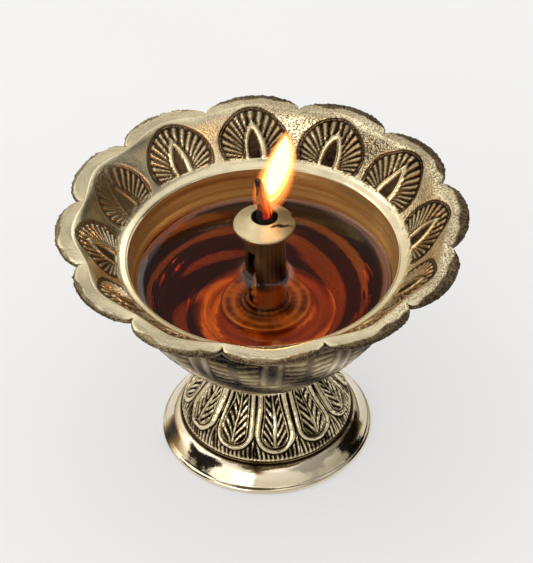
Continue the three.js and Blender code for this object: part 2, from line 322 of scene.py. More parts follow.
# %% [markdown]
# ## Brass
# The lamp is cast yellow brass, about two parts copper to one of zinc. Polished it is a pale warm
# yellow; where hands and cloths don't reach, it goes brown and then almost black. The real lamp
# was darkened on purpose, and then rubbed back, so the raised lines are bright and the valleys
# dark. That gives the eye its contrast. All the brass finishes share these steps and differ in
# numbers: how rough it is, how strong the turning marks are, and how far the patina has spread.

# %% Brass finishes
def brass(name, clean, tired, rough, marks, spread, spot_mm=0.55, buff=0.0, streak=0.10,
          brown="#5A4A3A", black="#17120E", film=0.0):
    """clean to black are hex colours and rough is (bright, dark). marks and buff are how deep the
    turning marks and the wheel's unevenness are, in mm, and spot_mm is how far apart the punched
    dots are. spread is how uneven the patina is and streak how uneven the gloss. film is how far
    the patina hides the metal, as dried oil does."""
    material, tree = blank_material(name)
    place = add(tree, "TexCoord").outputs["Object"]
    dark = add(tree, "Attribute", attribute_name="dark").outputs["Fac"]
    punched = add(tree, "Attribute", attribute_name="punch").outputs["Fac"]
    lathe = add(tree, "Attribute", attribute_name="lathe").outputs["Vector"]
    clouds = add(tree, "TexNoise", {"Vector": place, "Scale": 1 / (7 * MM), "Detail": 5.0, "Roughness": 0.65})
    grains = add(tree, "TexNoise", {"Vector": place, "Scale": 1 / (0.9 * MM), "Detail": 3.0})
    # slow round the piece, and about three lines to a millimetre along its profile
    long_way = add(tree, "VectorMath", {0: lathe, 1: (2.2, 2.2, 3.4)}, operation="MULTIPLY").outputs[0]
    lines = add(tree, "TexNoise", {"Vector": long_way, "Scale": 1.0, "Detail": 4.0, "Roughness": 0.7})
    dots = add(tree, "TexVoronoi", {"Vector": place, "Scale": 1 / (spot_mm * MM), "Randomness": 0.85})
    dot = add(tree, "MapRange", {"Value": dots.outputs["Distance"], "From Min": 0.10, "From Max": 0.55,
                                 "To Min": 1.0, "To Max": 0.0}, interpolation_type="SMOOTHSTEP")
    dot_here = add(tree, "Math", {0: dot.outputs[0], 1: punched}, operation="MULTIPLY").outputs[0]
    cloudy = add(tree, "Math", {0: clouds.outputs["Fac"], 1: spread, 2: -0.5 * spread},
                 operation="MULTIPLY_ADD")
    grainy = add(tree, "Math", {0: grains.outputs["Fac"], 1: 0.30, 2: -0.15}, operation="MULTIPLY_ADD")
    grain_here = add(tree, "Math", {0: grainy.outputs[0], 1: dark}, operation="MULTIPLY")
    patina = add(tree, "Math", {0: dark, 1: cloudy.outputs[0]}, operation="ADD").outputs[0]
    patina = add(tree, "Math", {0: patina, 1: grain_here.outputs[0]}, operation="ADD").outputs[0]
    patina = add(tree, "Math", {0: dot_here, 1: 0.34, 2: patina}, operation="MULTIPLY_ADD",
                 use_clamp=True).outputs[0]
    tone = add(tree, "ValToRGB", {"Fac": patina},
               stops=[(0.0, clean), (1.0, black), (0.35, tired), (0.68, brown)])
    shine = add(tree, "MapRange", {"Value": patina, "To Min": rough[0], "To Max": rough[1]}).outputs[0]
    shine = add(tree, "Math", {0: lines.outputs["Fac"], 1: streak, 2: shine},
                operation="MULTIPLY_ADD").outputs[0]
    turning = add(tree, "Math", {0: lines.outputs["Fac"], 1: marks}, operation="MULTIPLY").outputs[0]
    uneven = add(tree, "Math", {0: clouds.outputs["Fac"], 1: buff, 2: turning},
                 operation="MULTIPLY_ADD").outputs[0]
    pitted = add(tree, "Math", {0: dot_here, 1: -0.14, 2: uneven}, operation="MULTIPLY_ADD").outputs[0]
    rough_cast = add(tree, "Math", {0: grains.outputs["Fac"], 1: dark}, operation="MULTIPLY").outputs[0]
    depth = add(tree, "Math", {0: rough_cast, 1: 0.12, 2: pitted}, operation="MULTIPLY_ADD").outputs[0]
    bump = add(tree, "Bump", {"Height": depth, "Strength": 1.0, "Distance": 1.0 * MM})
    metal = add(tree, "BsdfPrincipled", {"Base Color": tone.outputs["Color"], "Metallic": 1.0,
                                         "Roughness": shine, "Normal": bump.outputs["Normal"]})
    if film:
        bare = add(tree, "MapRange", {"Value": patina, "To Min": 1.0 - 0.3 * film,
                                      "To Max": 1.0 - film}).outputs[0]
        tree.links.new(bare, metal.inputs["Metallic"])
    add(tree, "OutputMaterial", {"Surface": metal.outputs[0]})
    print(name, "made with", len(tree.nodes), "nodes")
    return material


polished_brass = brass("cast_brass_polished", "#F5E8CE", "#A88B5C", (0.03, 0.30), 0.01, 0.08,
                       buff=0.08, streak=0.04)
engraved_brass = brass("cast_brass_engraved_and_rubbed", "#F5E6C0", "#A3926F", (0.14, 0.58), 0.03, 0.36,
                       buff=0.05, brown="#66553F")
turned_brass = brass("cast_brass_turned_inside", "#E2BE7C", "#B98242", (0.08, 0.45), 0.05, 0.22, buff=0.03,
                     streak=0.14, brown="#5A2E12", black="#1A0E08", film=0.8)
satin_brass = brass("sheet_brass_satin", "#D9C9A0", "#8F7A54", (0.30, 0.60), 0.05, 0.38, buff=0.05)
plain_brass = brass("bar_brass_turned", "#D6C084", "#8A7346", (0.28, 0.55), 0.06, 0.25)

# %% [markdown]
# ## The foot
# The foot is a spun skirt with a rolled bead. It was turned on the lathe and buffed to a mirror,
# so all it shows is the room, in soft wide blotches. A plain turned surface would reflect too
# cleanly: a buffed casting is never quite even, so a slow unevenness of a few hundredths of a
# millimetre bends the reflections. Three brown blotches are painted into its colour as dark
# reflections of the room, and painted shade darkens the groove under the stem's edge and the
# bottom edge by the table.

# %% Foot
# Painted dark reflections as (bearing and spread in degrees, radius where it is unpainted, radius where it is
# fully brown, depth).
FOOT_PAINTED_REFLECTIONS = (
    (-168.0, 10.0, 25.4, 26.4, 0.85),
    (-98.0, 7.0, 26.2, 25.4, 0.68),
    (-26.0, 6.0, 27.4, 26.6, 0.51),
)


def buffed(angle, walked, radius, height):
    """A slow unevenness from the buffing wheel, painted shade in the groove under the stem and along the
    bottom edge, and brown blotches that paint dark reflections of the room.
    """
    rise = 0.07 * wander(angle, walked, 11, 8)
    # Painted shade in the groove under the stem's overhanging edge.
    dark = 0.95 * soft(24.4, 23.8, radius) * soft(5.9, 6.3, height)
    bearing = half_turn(np.degrees(angle))
    cloud = 5.0 * wander(angle, walked, 13, 14)
    for reflection_bearing, spread, unpainted_radius, painted_radius, depth in FOOT_PAINTED_REFLECTIONS:
        # Each blotch is a painted dark reflection of the room, brown on the mirror-polished foot.
        stain = np.exp(-(((bearing - reflection_bearing + cloud) / spread) ** 2))
        dark = dark + depth * stain * soft(unpainted_radius, painted_radius, radius)
    # Painted shade along the foot's bottom edge by the table, then a slight random unevenness.
    dark = dark + 0.45 * soft(0.5, 0.0, height) + 0.04 * (1 + wander(angle, walked, 12))
    return rise, dark, np.zeros_like(radius)


foot_line = np.concatenate([
    arc((28.2, 0.9), 0.9, -90, 78, 12),
    cubic((28.2, 1.8), (26.8, 3.7), (25.6, 5.7), (23.4, 6.4), 26)[1:],
])
foot_rings = turned(along(foot_line, 0.28), 288, buffed)
foot_neck = cubic((23.4, 6.4), (22.6, 6.4), (21.8, 5.9), (21.8, 4.8), 8)
foot_hollow = cubic((21.8, 4.8), (24.0, 4.3), (25.5, 2.2), (26.4, 0.0), 14)
foot_rings += turned(along(foot_neck, 0.4)[1:], 288, start=12.0)
foot_rings += turned(along(foot_hollow, 0.5)[1:], 144, start=15.0)
weave("foot_skirt", foot_rings, polished_brass, "pedestal", "foot", loop=True)

# %% [markdown]
# ## The stem
# Eleven lotus petals hang from the neck with their round tips down, cut deep with a chisel. Each
# one has a smooth raised border, a dark groove, a thin inner border, and a leaf with a vein and
# slanting ribs. Short upright strokes fill the gaps between the tips. It could be a bump map, but
# the cuts are half a millimetre deep and throw real shadows, so they go into the mesh.

# %% Stem petals
STEM_PETALS = 11
stem_dice = np.random.default_rng(23)
stem_shift = stem_dice.normal(0.0, 0.02, STEM_PETALS)
stem_phase = stem_dice.uniform(0.0, 1.0, STEM_PETALS)
stem_drop = stem_dice.uniform(-0.9, 0.5, STEM_PETALS)
STEM_FIRST = math.radians(-85.5)
STEM_EDGE = 3.6  # the walked distance at the bottom edge of the carving


def lotus_petals(angle, walked, radius, height):
    """Petals that hang with their round tips down, above the bottom edge of the stem."""
    walked = walked - STEM_EDGE
    cell, off = cells(angle, STEM_PETALS, STEM_FIRST)
    across = (off + stem_shift[cell]) * radius + 0.22 * wander(angle, walked, 31, 40)
    half = math.pi / STEM_PETALS * radius
    above_tip = walked - 1.9 - stem_drop[cell]
    tip = 0.97 * half
    inside = tip - np.hypot(across, np.minimum(above_tip - tip, 0.0))
    border = ridge(inside - 0.85, 0.85)
    inner_border = ridge(inside - 2.05, 0.30)
    leaf = soft(2.2, 2.5, inside)
    beside = np.abs(across)
    vein = ridge(across, 0.40 + 0.04 * (radius - 14)) * leaf
    climb = (above_tip - 2.1 * beside + 0.16 * beside**2) / 2.7 + stem_phase[cell]
    climb = climb + 0.10 * wander(angle, walked, 35, 40)
    ribs = soft(0.36, 0.60, 0.5 + 0.5 * np.cos(2 * np.pi * climb)) * leaf * soft(0.35, 0.7, beside)
    gap = soft(0.0, -0.30, inside)
    strokes = soft(0.30, 0.65, 0.5 + 0.5 * np.cos(2 * np.pi * off * radius / 1.25 + 0.5 * walked)) * gap
    rise = -0.62 + 0.74 * border + 0.54 * inner_border + 0.52 * ribs + 0.50 * vein + 0.44 * strokes
    rise = rise + 0.07 * wander(angle, walked, 32, 40)
    rise = rise + 0.035 * grit(rise.shape, 33)
    edge_line = np.clip(soft(0.45, 0.1, walked) + soft(18.0, 18.8, walked), 0.0, 1.0)
    rise = rise * (1 - edge_line)
    dark = 1.1 * soft(-0.10, -0.40, rise) * (1 - 0.5 * edge_line)
    dark = np.clip(dark + 0.12 * wander(angle, walked, 34, 12), 0.0, 1.0)
    return rise, dark, 0.1 * dark


stem_side = cubic((23.4, 7.6), (23.3, 12.755), (16.1, 18.46), (14.4, 24.0), 60)
stem_front = along(np.concatenate([[(21.0, 6.46), (23.2, 6.46)], stem_side]), 0.30)
outer_start = int(np.argmin(np.hypot(*(stem_front - stem_side[0]).T)))
stem_rings = turned(stem_front[:outer_start], 360)
stem_rings += turned(stem_front[outer_start:], 720, lotus_petals, start=STEM_EDGE)
stem_rings += turned(along([(13.8, 24.0), (3.3, 24.0)], 1.2), 360, start=25.0)
stem_rings += turned(along([(3.3, 23.7), (3.3, 20.4), (13.2, 20.4)], 1.2), 180, start=36.5)
stem_inside = cubic((13.2, 20.4), (15.0, 15.2), (21.0, 13.6), (21.0, 6.46), 20)
stem_rings += turned(along(stem_inside, 0.9)[1:-1], 180, start=51.0)
weave("lotus_stem", stem_rings, engraved_brass, "pedestal", "stem", loop=True)

# %% [markdown]
# ## The bowl's outside
# The belly is cast with two bands of work. The upper band repeats under each petal: two upright
# bars with a panel of level strokes on each side. The lower band has pointed leaves that stand on
# the boss. The underside of the brim was never rubbed bright, so it keeps a rough dark skin.

# %% Belly work
PETALS = 12
BAR_BAND = (44.2, 58.3)  # from and to which height the bars and strokes stand
LEAF_BAND = (27.4, 43.2)


def belly_work(angle, walked, radius, height):
    """Bars and level strokes above, leaves below."""
    _, off = cells(angle, PETALS, 0.0)
    across = np.abs(off * radius + 0.25 * wander(angle, walked, 41, 30))
    half = math.pi / PETALS * radius
    level = height + 0.25 * wander(angle, walked, 42, 24)
    upper = soft(0.0, 0.7, level - BAR_BAND[0]) * soft(0.0, 0.7, BAR_BAND[1] - level)
    bars = ridge(across - 1.9, 1.0)
    strokes = soft(0.40, 0.68, 0.5 + 0.5 * np.cos(2 * np.pi * (level + 0.16 * across) / 2.5))
    strokes = strokes * soft(3.3, 3.7, across) * soft(half - 0.9, half - 1.4, across)
    hoops = ridge(level - 43.7, 0.6) + ridge(level - 59.0, 0.8)
    _, off = cells(angle, PETALS, math.pi / PETALS)
    beside = np.abs(off * radius + 0.2 * wander(angle, walked, 43, 30))
    up = np.clip((level - 27.6) / 14.6, 0.0, 1.0)
    inside = 0.94 * half * np.sqrt(np.clip(1 - up**1.8, 0.0, 1.0)) - beside
    lower = soft(0.0, 0.6, level - LEAF_BAND[0]) * soft(0.0, 0.6, LEAF_BAND[1] - level)
    leaf = ridge(inside - 0.8, 0.75) + ridge(beside, 0.5) * soft(1.5, 2.2, inside)
    chips = soft(0.45, 0.7, 0.5 + 0.5 * np.cos(2 * np.pi * (level - 0.9 * beside) / 1.9))
    leaf = np.clip(leaf + chips * soft(1.6, 2.0, inside) + 0.7 * chips * soft(-0.2, -0.6, inside), 0.0, 1.0)
    raised = np.clip(upper * (bars + strokes) + hoops + lower * leaf, 0.0, 1.0)
    rise = -0.36 * (1 - raised) * soft(26.8, 27.6, height) * soft(61.2, 60.2, height)
    rise = rise + 0.05 * wander(angle, walked, 44, 20) + 0.03 * grit(rise.shape, 45)
    dark = 0.42 + 0.32 * soft(-0.05, -0.34, rise) + 0.26 * wander(angle, walked, 46, 12)
    return rise, np.clip(dark, 0.0, 1.0), 0.3 * dark


def dark_skin(angle, walked, radius, height):
    """The unrubbed underside of the brim."""
    rise = 0.07 * wander(angle, walked, 51, 20)
    rise = rise + 0.05 * grit(rise.shape, 52)
    return rise, 0.62 + 0.20 * wander(angle, walked, 53, 14), 0.5 + np.zeros_like(radius)


print("belly motifs repeat", PETALS, "times")

# %% [markdown]
# ## The fans inside the brim
# Each petal carries a fan on the slope inside it. A round ground is sunk a third of a millimetre,
# with a pointed bud in the middle that has a thick bright border. Narrow ribs spread from the
# bud's foot to the fan's edge. Every fan is cut by hand, so each one leans, shifts and grows a
# little, and one on the left has been rubbed almost flat. Outside the fans the left petals are
# smooth and the right ones are punched with fine dots. The right petals, their fans and their
# edges are also painted darker, as painted shade on the side away from the key light.

# %% Fan work
FAN_RADIUS = 9.7
FAN_LEVEL = 5.8  # how far above the lip the middle of a fan is
RIB_PITCH = 9.2  # degrees from one rib to the next
RUBBED_BEARING = 152.0
LIP_LINE = 200.0  # the walked distance at the lip, so that the fans can count from it
POOL_LINE = 203.0  # the walked distance where the turned pool begins
fan_dice = np.random.default_rng(5)
fan_shift = fan_dice.normal(0.0, 0.30, PETALS)
fan_lean = fan_dice.normal(0.0, 0.05, PETALS)
fan_grow = 1 + fan_dice.normal(0.0, 0.025, PETALS)
fan_tilt = fan_dice.uniform(-0.12, 0.12, PETALS)


def fan_work(angle, walked, radius, height):
    """The sunk fans on the flare, the punched ground, the dark crescents on the petals and painted shade on
    the right.
    """
    up = LIP_LINE - walked
    cell, off = cells(angle, PETALS, 0.0)
    across = off * radius + fan_shift[cell] + fan_lean[cell] * (up - FAN_LEVEL)
    across = across + 0.16 * wander(angle, walked, 61, 40)
    rise_up = up / fan_grow[cell]
    inside = FAN_RADIUS - np.hypot(across, rise_up - FAN_LEVEL)
    sunk = soft(0.15, 0.75, inside)
    outline = ridge(inside, 0.36)
    from_foot = np.hypot(across, rise_up - 0.4)
    turn = np.degrees(np.arctan2(across, rise_up - 0.4)) + 1.2 * wander(angle, walked, 62, 30)
    ray = (turn / RIB_PITCH + fan_tilt[cell] + 0.5) % 1.0 - 0.5
    ray_offset = np.abs(ray) * np.radians(RIB_PITCH) * from_foot
    ribs = ridge(ray_offset, 0.14 + 0.045 * from_foot) * soft(0.75, 1.3, inside) * soft(2.4, 3.4, from_foot)
    bud_side = 14.5 - np.hypot(np.abs(across) + 11.45, rise_up - 3.0)
    bud_in = np.where(rise_up > 3.0, bud_side, 3.05 - np.abs(across) - 0.02 * (3.0 - rise_up) ** 2)
    bud = soft(-0.10, 0.12, bud_in)
    thick = 0.70 + 0.12 * np.tanh(-across)
    border = ridge(bud_in - thick, thick + 0.04)
    recess = soft(2 * thick - 0.05, 2 * thick + 0.30, bud_in)
    groove = ridge(bud_in + 0.40, 0.46)
    field = -0.32 * sunk + 0.46 * ribs
    rise = field * (1 - bud) + bud * (0.04 + 0.30 * border - 0.40 * recess)
    rise = rise - 0.22 * groove * sunk - 0.22 * outline
    shown = soft(0.8, 1.5, up)
    rubbed = 0.85 * np.exp(-(((np.degrees(angle) - RUBBED_BEARING) / 10.0) ** 2))
    rise = rise * shown * (1 - rubbed)
    dark = 0.64 * soft(0.0, -0.24, rise) + 0.20 * outline * shown
    # right marks the punched petals and also paints shade on the side away from the key light.
    right = soft(-0.15, 0.55, np.cos(angle - math.radians(20.0)))
    edge = 55.0 - radius
    middle = off / (math.pi / PETALS)
    front = soft(0.3, 0.9, -np.sin(angle))
    crescent_width = (1 - np.abs(middle) ** 1.7) * (0.9 + 1.5 * right + 0.15 * front) + 0.1
    crescent_width = crescent_width + 0.35 * wander(angle, walked, 67, 60)
    crescent = soft(crescent_width + 0.35, crescent_width - 0.25, edge)
    ground = (1 - sunk) * soft(0.3, 1.5, up) * (0.06 + 0.80 * right)
    punch = np.clip(ground + 1.2 * crescent + 0.9 * sunk * (1 - ribs) * (1 - bud), 0.0, 1.0)
    rough_edge = soft(54.2, 54.5, radius) * soft(73.0, 72.7, height)
    dark = dark + (0.38 + 0.16 * right + 0.10 * front) * crescent
    dark = dark + 0.14 * right * ground + 0.30 * rubbed * sunk
    dark = dark + (0.10 + 0.20 * right) * sunk * shown * (1 - 0.5 * border)
    dark = np.maximum(dark, 0.66 * rough_edge)
    dark = np.clip(dark + 0.07 * wander(angle, walked, 63, 16), 0.0, 1.0)
    rise = rise + 0.035 * wander(angle, walked, 64, 24) + 0.02 * grit(rise.shape, 65) * (dark + 0.2)
    rise = rise + 0.11 * np.maximum(crescent, rough_edge) * grit(rise.shape, 66)
    return rise, dark, punch


print("fans are", 2 * FAN_RADIUS, "mm across")

# %% [markdown]
# ## The bowl's inside
# Inside, the bowl is turned smooth. A polished ring stands where the flare meets the wall. Below
# it the tool left level lines, and where the oil stands the brass has gone brown. Bright swirling
# bands on the left and right are painted into that brown as reflections, with painted shade near
# the shore, and they give the oil its depth.

# %% Inside work
OIL_LEVEL = 52.4
POOL_FLOOR = 31.8


def lip_work(angle, walked, radius, height):
    """A clean polished ring, hardly uneven."""
    dark = 0.03 * (1 + wander(angle, walked, 71))
    return 0.02 * wander(angle, walked, 72), dark, np.zeros_like(radius)


def pool_work(angle, walked, radius, height):
    """Turned wall above the oil with level bands, partly tarnish and partly painted highlight streaks; below
    it brown patina, painted bright reflections as swirls, painted shade near the shore and a cleaner floor.
    """
    rings = 0.06 * np.sin(walked * 2.1) + 0.04 * np.sin(walked * 5.3 + 1.0)
    groove = -0.25 * ridge(radius - 15.6, 0.8) * soft(33.0, 32.0, height)
    wet = soft(OIL_LEVEL + 0.5, OIL_LEVEL - 1.5, height)
    # Painted reflection: bright swirls of the room, kept to the left and right walls under the oil.
    painted_swirl_reflection = soft(0.05, 0.75, wander(angle + 0.04 * walked, walked * 1.3, 73, 7))
    painted_swirl_reflection = painted_swirl_reflection * soft(-0.1, 0.5, np.abs(np.cos(angle)))
    floor_part = soft(20.5, 17.0, radius) * soft(34.0, 32.5, height)
    rim_shade = soft(41.0, 49.0, height)
    below = 0.86 - 0.86 * painted_swirl_reflection - 0.42 * floor_part + 0.42 * rim_shade
    # Level bands above the oil: partly tarnish from turning, partly painted highlight streaks.
    above = 0.20 + 0.13 * np.sin(height * 3.4 + 0.4 * np.sin(angle)) + 0.20 * wander(angle, walked * 4, 74, 4)
    dark = above * (1 - wet) + below * wet
    rise = 0.07 * wander(angle, walked, 75, 7) + rings + groove
    rise = rise * np.clip(radius / 6.0, 0.0, 1.0)
    return rise, np.clip(dark, 0.0, 1.0), np.zeros_like(radius)


print("oil stands at", OIL_LEVEL, "mm")

# %% [markdown]
# ## The bowl as one casting
# The profile runs from the blind hole in the boss up the belly, under the brim, over its edge,
# down the flare and into the pool. The brim is round until the last step, `scallop`, which draws
# it in to a notch between two petals, more and more towards the edge.

# %% Scalloped bowl
RIM = 55.0
SCALLOP_START = 43.35
petal_dice = np.random.default_rng(9)
petal_trim = petal_dice.uniform(0.0, 0.25, PETALS)
petal_skew = petal_dice.uniform(-0.06, 0.06, PETALS)


def scallop(ring):
    """Draw a ring of the brim in to the notches between the petals."""
    co = ring["co"]
    radius = np.hypot(co[:, 0], co[:, 1])
    angle = np.arctan2(co[:, 1], co[:, 0])
    cell, off = cells(angle, PETALS, 0.0)
    middle = off / (math.pi / PETALS)
    share = np.clip((radius - SCALLOP_START) / (RIM - SCALLOP_START), 0.0, 1.1)
    middle = middle + petal_skew[cell] * (1 - middle**2)
    cusp = 1 - np.sqrt(np.clip(1 - middle**2, 0.0, 1.0))
    bay = 0.75 * np.sin(0.5 * np.pi * middle) ** 2
    edge_share = share**5
    lost = cusp * edge_share + bay * (1 - edge_share)
    drawn = radius - share**1.5 * (5.65 * lost + petal_trim[cell] * (1 - middle**2))
    lower = co[:, 2] - share * 0.7 * lost
    ring["co"] = np.stack([drawn * np.cos(angle), drawn * np.sin(angle), lower], 1)
    return ring


def offset(points, distance):
    """A line beside another: positive distances go to its right."""
    slope = np.gradient(points, axis=0)
    slope /= np.hypot(*slope.T)[:, None]
    distance = np.broadcast_to(distance, len(points))[:, None]
    return points + distance * np.stack([slope[:, 1], -slope[:, 0]], 1)


belly_line = cubic((16.9, 26.8), (23.6, 31.7), (38.9, 46.9), (39.8, 61.5), 160)
flare_line = cubic((38.4, 62.4), (41.8, 64.5), (47.0, 72.2), (50.5, 73.3), 120)
under_line = offset(flare_line, 1.8)[10:]
wall = np.linspace(2.2, 3.6, 160)
inner_line = offset(belly_line, -wall)
inner_line = inner_line[inner_line[:, 1] > POOL_FLOOR]
floor_radius = float(inner_line[0, 0])
top_line = along(np.concatenate([arc((54.1, 72.3), 0.9, -10, 80, 8), flare_line[::-1]]), 0.31)
top_length = np.hypot(*np.diff(top_line, axis=0).T).sum()

bowl_rings = [pole(30.3)]
bowl_rings += turned(along([(3.3, 30.3), (3.3, 25.4), (16.0, 25.4), (16.4, 25.9), (16.9, 26.7)], 0.9), 192)
bowl_rings += turned(along(belly_line, 0.56), 384, belly_work, start=20.0)
bowl_rings += [scallop(r) for r in turned(along(under_line, 0.8), 384, dark_skin, start=64.0)]
bowl_rings += [scallop(r) for r in turned(arc((54.1, 72.3), 0.9, -70, -20, 5), 768, dark_skin, start=84.0)]
bowl_rings += [scallop(r) for r in turned(top_line, 768, fan_work, start=LIP_LINE - top_length)]
lip_line = along([(38.1, 62.25), (36.75, 61.85), (36.35, 61.5)], 0.35)
bowl_rings += turned(lip_line, 384, lip_work, start=LIP_LINE + 0.4)
pool_floor_line = [(floor_radius, POOL_FLOOR), (1.0, POOL_FLOOR)]
pool_line = along(np.concatenate([inner_line[::-1][1:], pool_floor_line]), 0.8)
bowl_rings += turned(pool_line, 192, pool_work, start=POOL_LINE)
bowl_rings += [pole(POOL_FLOOR, 260.0, 0.3)]
lotus_bowl = weave("lotus_bowl", bowl_rings, engraved_brass, "bowl", "bowl")
lotus_bowl.data.materials.append(turned_brass)
walked_in = np.concatenate([ring["walked"] for ring in bowl_rings])
inside_face = [walked_in[face.vertices[0]] > POOL_LINE - 0.2 for face in lotus_bowl.data.polygons]
lotus_bowl.data.polygons.foreach_set("material_index", np.array(inside_face, np.int32))
print("floor of the pool is", round(2 * floor_radius, 1), "mm across")

# %% [markdown]
# ## The wick holder
# A flat disc keeps the tube upright in the oil. The tube is rolled sheet brass with a tall slot
# that lets oil in, and the cap is a shallow pierced cone whose collar drops into the tube. The
# cap's edge was cut with snips, so it is a little uneven and has a nick.

# %% Holder pieces
holder_low, holder_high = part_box("wick_tube")
holder_x = (holder_low.x + holder_high.x) / 2 / MM
holder_y = (holder_low.y + holder_high.y) / 2 / MM
CAP_RADIUS = 8.4
NICK_BEARING = 16.0
SMALL_NICK_BEARING = 34.0


def stand(rings):
    """Move rings from the lamp's axis to the wick holder's."""
    for ring in rings:
        ring["co"] = ring["co"] + np.array([holder_x, holder_y, 0.0])
    return rings


def handled_and_shaded(angle, walked, radius, height):
    """Slight dents and an uneven brown, streaked where oil ran down, a painted shade band on the tube just
    above the oil, and cleaner under the oil.
    """
    rise = 0.05 * wander(angle, walked, 81, 6)
    streaks = np.sin(angle * 23 + 1.5 * np.sin(angle * 5)) * 0.08
    dark = 0.40 + 0.14 * wander(angle, walked, 82, 6) + streaks
    soaked = soft(51.0, 47.0, height) * soft(34.6, 38.0, height)
    disc = soft(35.4, 33.4, height) * (0.6 + 0.4 * np.sin(2.2 * radius + 0.6 * np.cos(2 * angle)))
    dark = dark * (1 - 0.9 * np.maximum(soaked, disc))
    # Painted shade: a darker band on the tube just above the oil.
    dark = dark + 0.30 * soft(51.5, 52.5, height) * soft(62.0, 56.0, height)
    return rise, np.clip(dark, 0.0, 1.0), np.zeros_like(radius)


def scorched(angle, walked, radius, height):
    """The cap: a nick on the right, a brown right third, soot at the hole and a curled scratch."""
    bearing = half_turn(np.degrees(angle))
    nick = np.exp(-(((bearing - NICK_BEARING) / 8.0) ** 2)) * soft(7.2, 7.9, radius)
    rise = 0.08 * wander(angle, walked, 84, 5) * soft(3.3, 5.0, radius)
    right = np.exp(-(((bearing - 5.0) / 48.0) ** 2))
    soot = soft(3.75, 3.45, radius) * soft(69.0, 70.0, height)
    curl_x = radius * np.cos(angle) - 4.3 + 0.5 * np.sin(radius * 3.0)
    curl = ridge(radius * np.sin(angle) + 3.1 - 0.35 * curl_x, 0.45) * soft(2.9, 2.2, np.abs(curl_x))
    dark = 0.04 + 0.36 * right + 0.9 * soot + 0.85 * curl + 0.5 * nick + 0.08 * wander(angle, walked, 85, 8)
    dark = np.where(height < 68.9, 0.75, dark)
    return rise, np.clip(dark, 0.0, 1.0), np.zeros_like(radius)


base_line = [(12.5, 32.1), (12.5, 33.2), (12.3, 33.55), (11.9, 33.7), (7.3, 33.7), (7.0, 34.0), (7.0, 35.5),
             (6.8, 35.7), (6.0, 35.7), (5.8, 35.5), (5.8, 33.7)]
base_rings = [pole(32.1)] + turned(along([(0.6, 32.1), (12.4, 32.1)], 1.4), 128)
base_rings += turned(along(base_line, 0.22), 128, handled_and_shaded, start=13.0) + [pole(33.7, 34.0)]
weave("holder_disc", stand(base_rings), satin_brass, "wick_holder", "wick_base")
collar_line = [(3.25, 65.0), (4.3, 65.0), (4.3, 69.0), (8.1, 69.0), (8.35, 69.3), (8.4, 69.7), (8.2, 69.95),
               (3.6, 72.2), (3.35, 72.2), (3.25, 71.9)]
cap_rings = turned(along(collar_line, 0.24), 144, scorched)
cap_rings += turned([(3.25, 69.0), (3.25, 67.0)], 144, scorched, start=20.0)
for ring in cap_rings:
    reach = np.hypot(ring["co"][:, 0], ring["co"][:, 1])
    bearing = np.degrees(np.arctan2(ring["co"][:, 1], ring["co"][:, 0]))
    bite = 0.85 * np.exp(-(((bearing - NICK_BEARING) / 6.5) ** 2))
    bite = bite + 0.3 * np.exp(-(((bearing - SMALL_NICK_BEARING) / 5.0) ** 2))
    trimmed = np.minimum(reach, CAP_RADIUS - bite)
    ring["co"][:, :2] *= (trimmed / reach)[:, None]
weave("pierced_cap", stand(cap_rings), satin_brass, "wick_cap", "wick_cap", loop=True)

# %% [markdown]
# ## The slotted tube
# The tube starts as a closed turned sleeve. Then the faces inside the slot are taken out of both
# walls, and the two openings are bridged, which leaves a clean sawn slot with real thickness.

# %% Slotted tube
SLOT_BEARING = -156.0
SLOT_HALF_WIDTH = 35.5  # in degrees round the tube
SLOT_FOOT = 36.7
SLOT_HEAD = 62.7
tube_line = [(4.6, 34.0), (5.5, 34.0), (5.5, 68.7), (4.6, 68.7)]
tube_rings = turned(along(tube_line, 0.45), 90, handled_and_shaded)
tube_rings += turned(along([(4.6, 68.3), (4.6, 34.4)], 0.45), 90, handled_and_shaded, start=38.0)
wick_sleeve = weave("wick_sleeve", stand(tube_rings), satin_brass, "wick_holder", "wick_tube",
                    loop=True)
sleeve = bmesh.new()
sleeve.from_mesh(wick_sleeve.data)
slot_faces = []
for face in sleeve.faces:
    middle = face.calc_center_median() / MM - Vector((holder_x, holder_y, 0.0))
    from_slot = half_turn(math.degrees(math.atan2(middle.y, middle.x)) - SLOT_BEARING)
    on_wall = abs(face.normal.z) < 0.5
    if on_wall and SLOT_FOOT < middle.z < SLOT_HEAD and abs(from_slot) < SLOT_HALF_WIDTH:
        slot_faces.append(face)
bmesh.ops.delete(sleeve, geom=slot_faces, context="FACES")
open_edges = [edge for edge in sleeve.edges if edge.is_boundary]
bmesh.ops.bridge_loops(sleeve, edges=open_edges)
sleeve.normal_update()
sleeve.to_mesh(wick_sleeve.data)
sleeve.free()
wick_sleeve.data.set_sharp_from_angle(angle=math.radians(35))
print("slot took", len(slot_faces), "faces and", len(open_edges), "edges were bridged")

# %% [markdown]
# ## The wick
# Four strands of loose cotton are twisted together, and they swell at the bottom of the tube.
# Below the cap the wick is soaked with oil. Above it the flame has burnt it black and thin, and it
# bends over. A few embers glow along its right side. The twist is in the mesh, since it is what
# makes it read as cotton.

# %% Wick
EMBER_BEARING = -40.0


